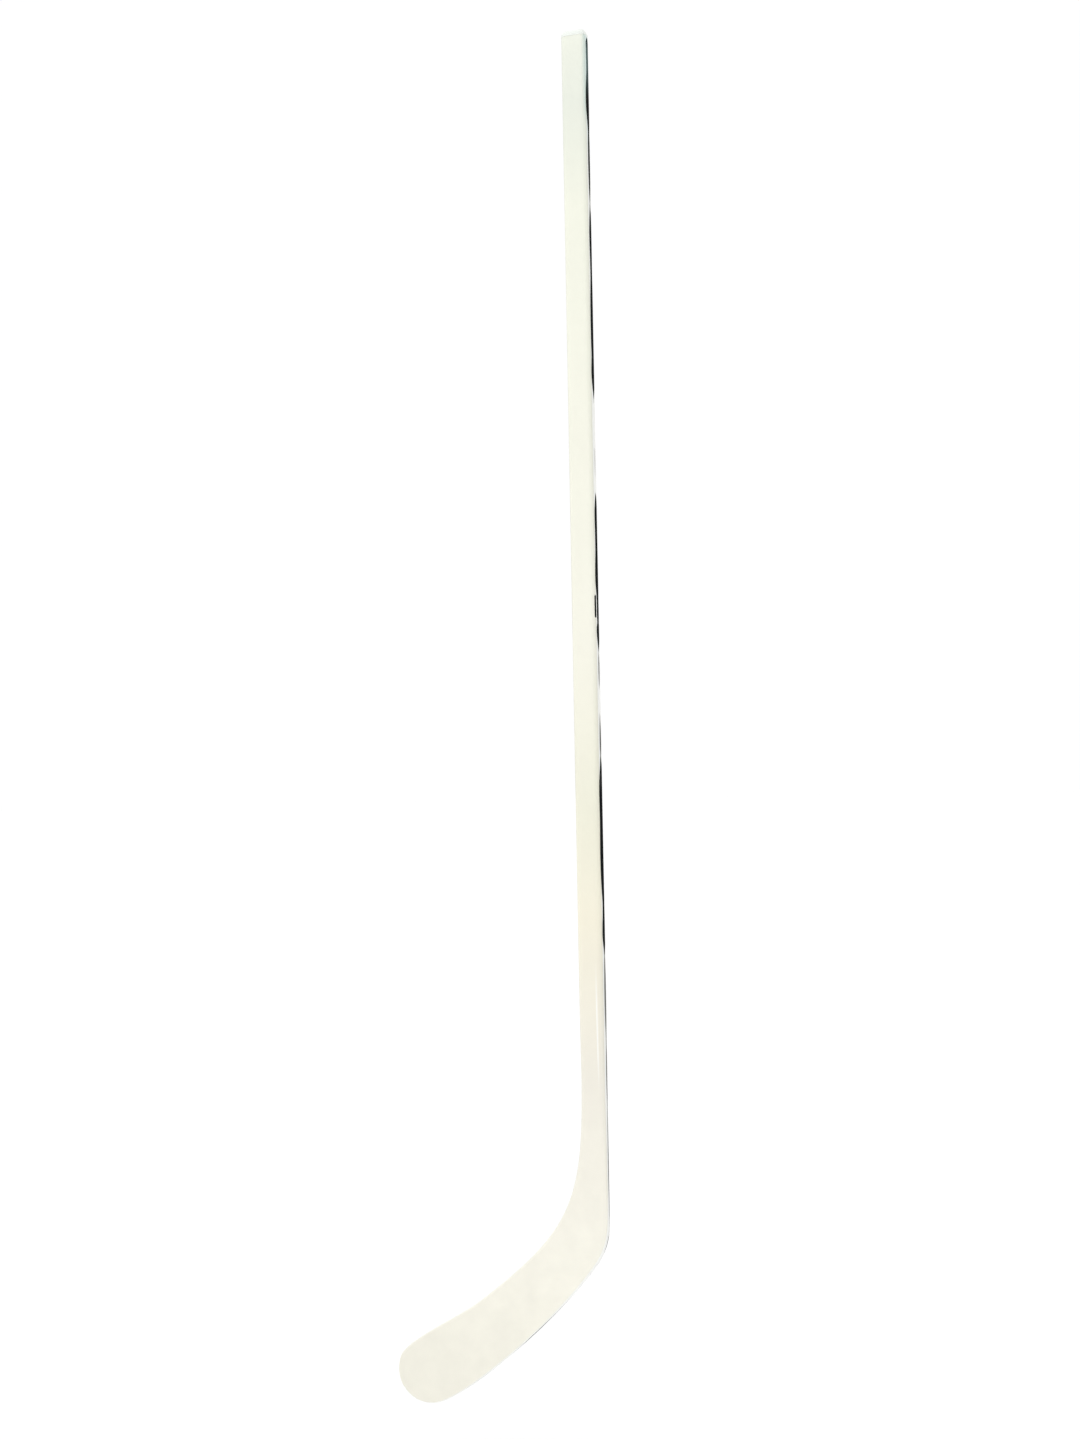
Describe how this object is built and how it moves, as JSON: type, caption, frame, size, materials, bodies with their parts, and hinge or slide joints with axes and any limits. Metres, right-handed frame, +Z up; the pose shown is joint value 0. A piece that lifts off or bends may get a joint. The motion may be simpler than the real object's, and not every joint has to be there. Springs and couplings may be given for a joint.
{
  "type": "hockey stick",
  "caption": "Hollow-shafted hockey stick with a curved foam-cored blade for passing and shooting a puck or ball, and a push-in butt plug.",
  "frame": {"origin": "on the shaft's centre line at the middle of the top hand's grip, 80 mm below the butt's top", "axes": "+Z up along the shaft to the butt, +X from the toe side to the heel side in the plane of the wide faces, -Y out of the forehand face"},
  "size_m": [0.2537, 0.0408, 1.6211],
  "materials": {
    "painted_laminate": "satin",
    "plug_plastic": "satin",
    "bare_laminate": "satin",
    "epoxy": "gloss",
    "foam": "matte"
  },
  "bodies": {
    "stick": {"shaft_tube": "painted_laminate", "joint_wrap": "painted_laminate", "blade_face_forehand": "painted_laminate", "blade_face_backhand": "painted_laminate", "blade_tenon": "bare_laminate", "blade_edge_bead": "bare_laminate", "blade_bridge": "bare_laminate", "tenon_bond": "epoxy", "tenon_foam": "foam", "shaft_foam_stop": "foam", "blade_core_upper": "foam", "blade_core_lower": "foam"},
    "plug": {"butt_plug": "plug_plastic"}
  },
  "joints": [
    {"name": "plug_pull", "type": "slide", "parent": "stick", "child": "plug", "axis": [0, 0, 1], "range_m": [0, 0.06]}
  ]
}
